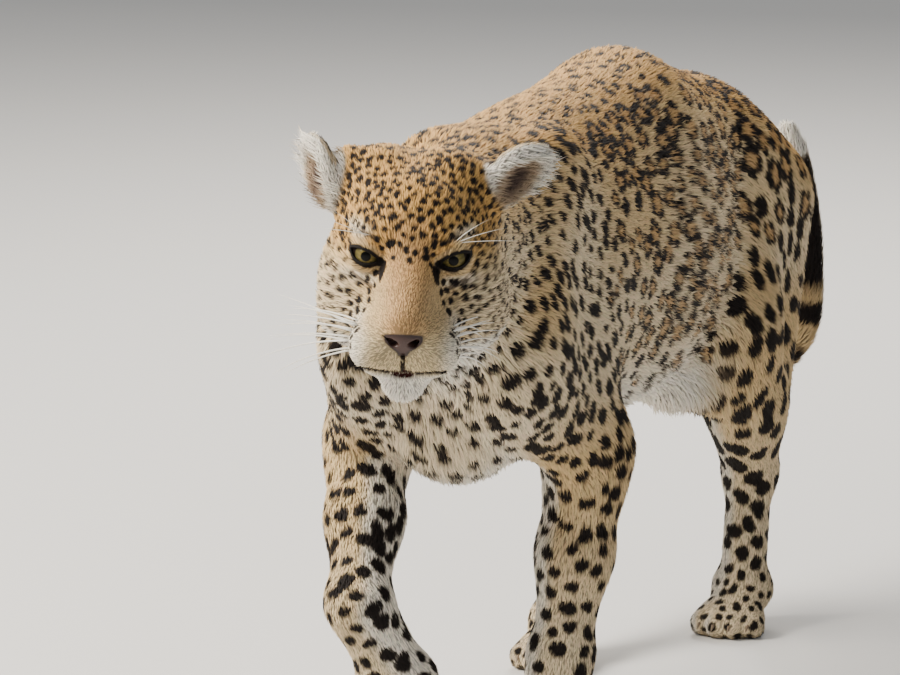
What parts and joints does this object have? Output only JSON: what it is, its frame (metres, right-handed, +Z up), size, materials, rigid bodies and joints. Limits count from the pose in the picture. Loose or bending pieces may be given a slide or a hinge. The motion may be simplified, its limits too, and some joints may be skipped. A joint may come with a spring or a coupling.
{
  "type": "walking leopard, life-size still model",
  "caption": "Life-size model of a walking leopard with one forefoot lifted, head low and turned, tail hanging and curling up.",
  "frame": {"origin": "on the floor under the middle of the bounding box of the whole animal", "axes": "the animal faces -Y, its left side is +X, +Z up"},
  "size_m": [0.3142, 1.3626, 0.6978],
  "materials": {
    "coat": "short dense spotted fur, matt",
    "skin": "skin under the fur, matt, with the same markings",
    "nose": "bare nose leather, slightly moist",
    "eye": "wet yellow-olive eye with a round dark pupil",
    "claw": "smooth horn of the claws",
    "whisker": "stiff white hair of whiskers and brows"
  },
  "bodies": {
    "root": {"eye_left": "eye", "eye_right": "eye", "nose": "nose", "lower_jaw": "coat", "ear_left": "coat", "ear_right": "coat", "head": "coat", "tail_tip": "coat", "tail_end": "coat", "tail_middle": "coat", "tail_base": "coat", "neck": "coat", "forepaw_right": "coat", "forepaw_left": "coat", "forearm_right": "coat", "upper_arm_right": "coat", "forearm_left": "coat", "upper_arm_left": "coat", "hind_foot_left": "coat", "shank_left": "coat", "thigh_left": "coat", "hind_foot_right": "coat", "shank_right": "coat", "thigh_right": "coat", "chest": "coat", "belly": "coat", "rump": "coat"}
  },
  "joints": []
}
